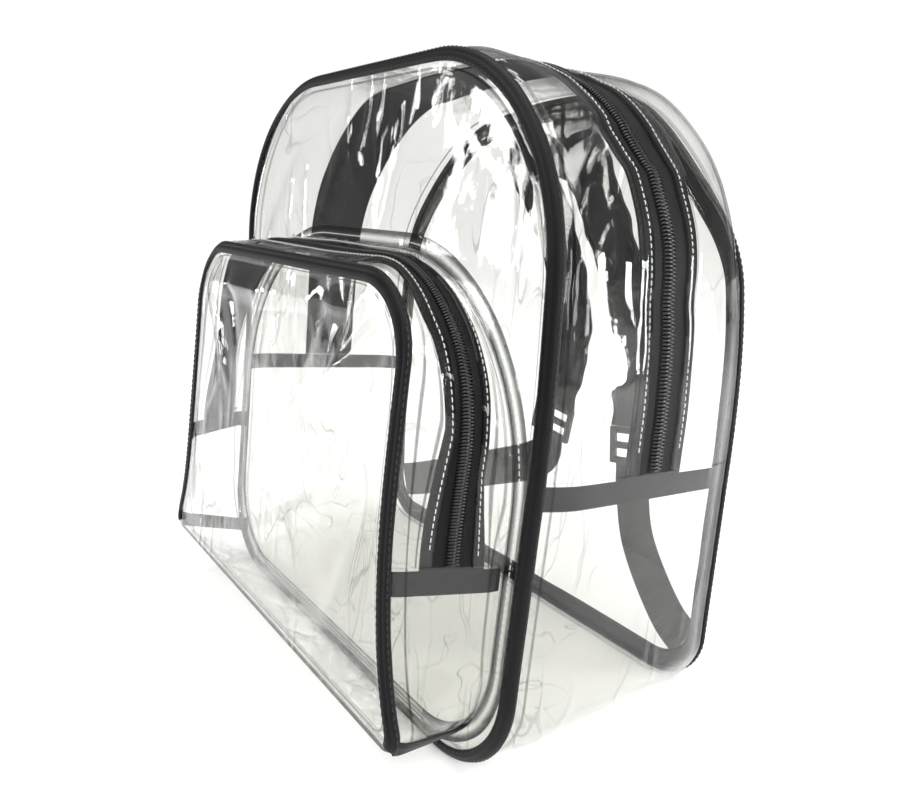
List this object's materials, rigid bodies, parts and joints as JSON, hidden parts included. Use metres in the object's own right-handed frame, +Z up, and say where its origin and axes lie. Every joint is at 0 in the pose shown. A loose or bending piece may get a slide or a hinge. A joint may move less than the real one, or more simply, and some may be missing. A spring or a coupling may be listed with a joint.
{
  "type": "clear backpack",
  "caption": "Clear PVC backpack with black bound seams, an arched zip over the top, a zipped front pocket, shoulder straps and a haul loop.",
  "frame": {"origin": "middle of the flat base, on the floor", "axes": "+X to the wearer's left, +Y from the pocket side to the strap side, +Z up"},
  "size_m": [0.3177, 0.2289, 0.3135],
  "materials": {
    "clear_pvc": "clear calendered PVC sheet, glossy, with soft creases",
    "black_tape": "twill-woven polyester binding and zip tape",
    "black_coil": "wound polyester zip coil, slight sheen",
    "black_enamel": "die-cast slider with black enamel",
    "black_webbing": "woven polypropylene webbing and padded strap cover",
    "moulded_black": "injection-moulded acetal, fine grain"
  },
  "bodies": {
    "root": {"front_panel": "clear_pvc", "back_panel": "clear_pvc", "gusset_front": "clear_pvc", "gusset_back": "clear_pvc", "lower_gusset": "clear_pvc", "pocket_front": "clear_pvc", "pocket_gusset_front": "clear_pvc", "pocket_gusset_back": "clear_pvc", "pocket_lower_gusset": "clear_pvc", "zip_tape": "black_tape", "pocket_zip_tape": "black_tape", "joint_tape_left": "black_tape", "joint_tape_right": "black_tape", "pocket_joint_tape_left": "black_tape", "pocket_joint_tape_right": "black_tape", "front_binding": "black_tape", "back_binding": "black_tape", "pocket_binding": "black_tape", "zip_coil": "black_coil", "pocket_zip_coil": "black_coil", "zip_slider": "black_enamel", "pocket_zip_slider": "black_enamel", "shoulder_strap_left": "black_webbing", "shoulder_strap_right": "black_webbing", "strap_webbing_left": "black_webbing", "strap_webbing_right": "black_webbing", "haul_loop": "black_webbing", "strap_buckle_left": "moulded_black", "strap_buckle_right": "moulded_black"}
  },
  "joints": []
}
